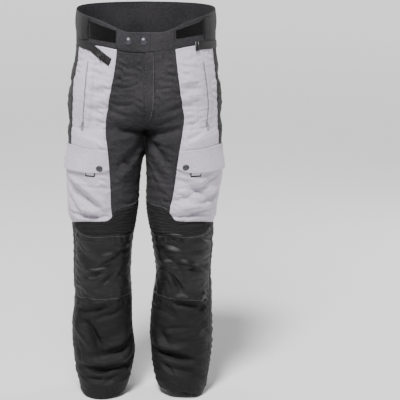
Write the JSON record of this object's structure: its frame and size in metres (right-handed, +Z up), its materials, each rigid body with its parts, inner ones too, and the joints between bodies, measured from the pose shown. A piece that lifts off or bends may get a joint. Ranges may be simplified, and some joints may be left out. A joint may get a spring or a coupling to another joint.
{
  "type": "textile motorcycle trousers",
  "caption": "Filled-out two-tone textile riding trousers with flapped thigh pockets, shirred knees, a snap waistband and an open hollow from waist to hems.",
  "frame": {"origin": "centre of the waist opening, level with the front of the waistband, where the wearer holds the trousers up", "axes": "+Z up out of the waist, -Y to the wearer's front, +X to the wearer's left"},
  "size_m": [0.4365, 0.297, 1.0746],
  "materials": {
    "grey_cloth": "light grey woven polyamide, slightly matt",
    "black_cloth": "black plain-woven polyamide, matt",
    "black_mesh": "black knitted mesh, matt",
    "stretch_cloth": "black ribbed stretch cloth",
    "knee_cloth": "black coated polyamide with a soft sheen",
    "hook_loop": "black loop pile",
    "webbing": "black woven webbing and tape",
    "black_plastic": "black moulded plastic",
    "dark_metal": "gunmetal plated snaps, sliders and pulls",
    "reflective_film": "silver grey reflective cloth tape"
  },
  "bodies": {
    "trousers": {"adjuster_strap_l": "webbing", "adjuster_strap_r": "webbing", "back_thigh_l": "black_cloth", "back_thigh_r": "black_cloth", "belt_loop_front_l": "webbing", "belt_loop_front_r": "webbing", "belt_loop_side_l": "webbing", "belt_loop_side_r": "webbing", "calf_l": "black_cloth", "calf_r": "black_cloth", "cargo_flap_l": "grey_cloth", "cargo_flap_r": "grey_cloth", "cargo_pocket_l": "grey_cloth", "cargo_pocket_r": "grey_cloth", "flap_snap_front_l": "dark_metal", "flap_snap_front_r": "dark_metal", "flap_snap_side_l": "dark_metal", "flap_snap_side_r": "dark_metal", "fly_shield": "black_cloth", "front_grey_l": "grey_cloth", "front_grey_r": "grey_cloth", "front_inner_l": "black_cloth", "front_inner_r": "black_cloth", "hook_loop_l": "hook_loop", "hook_loop_r": "hook_loop", "knee_l": "knee_cloth", "knee_r": "knee_cloth", "knee_stretch_l": "stretch_cloth", "knee_stretch_r": "stretch_cloth", "outer_leg_l": "black_cloth", "outer_leg_r": "black_cloth", "pocket_welt_l": "grey_cloth", "pocket_welt_r": "grey_cloth", "pocket_zip_l": "webbing", "pocket_zip_r": "webbing", "reflective_l": "reflective_film", "reflective_r": "reflective_film", "seat_l": "black_cloth", "seat_r": "black_cloth", "shin_l": "knee_cloth", "shin_r": "knee_cloth", "side_mesh_l": "black_mesh", "side_mesh_r": "black_mesh", "strap_ring_l": "black_plastic", "strap_slide_r": "black_plastic", "stretch_back": "stretch_cloth", "waist_snap_inner": "dark_metal", "waist_snap_outer": "dark_metal", "waist_tab": "black_cloth", "waist_under_tab": "black_cloth", "waistband_back": "black_cloth", "waistband_side_l": "black_cloth", "waistband_side_r": "black_cloth", "yoke": "black_cloth", "zip_slider_l": "dark_metal", "zip_slider_r": "dark_metal"},
    "pull_r": {"zip_pull_r": "dark_metal"},
    "pull_l": {"zip_pull_l": "dark_metal"}
  },
  "joints": [
    {"name": "pull_r_swing", "type": "hinge", "parent": "trousers", "child": "pull_r", "pos_m": [-0.16457, -0.09923, -0.24635], "axis": [-0.8138, 0.5812, 0], "range_deg": [0, 150]},
    {"name": "pull_l_swing", "type": "hinge", "parent": "trousers", "child": "pull_l", "pos_m": [0.16381, -0.09957, -0.24638], "axis": [-0.8161, -0.578, 0], "range_deg": [0, 150]}
  ]
}
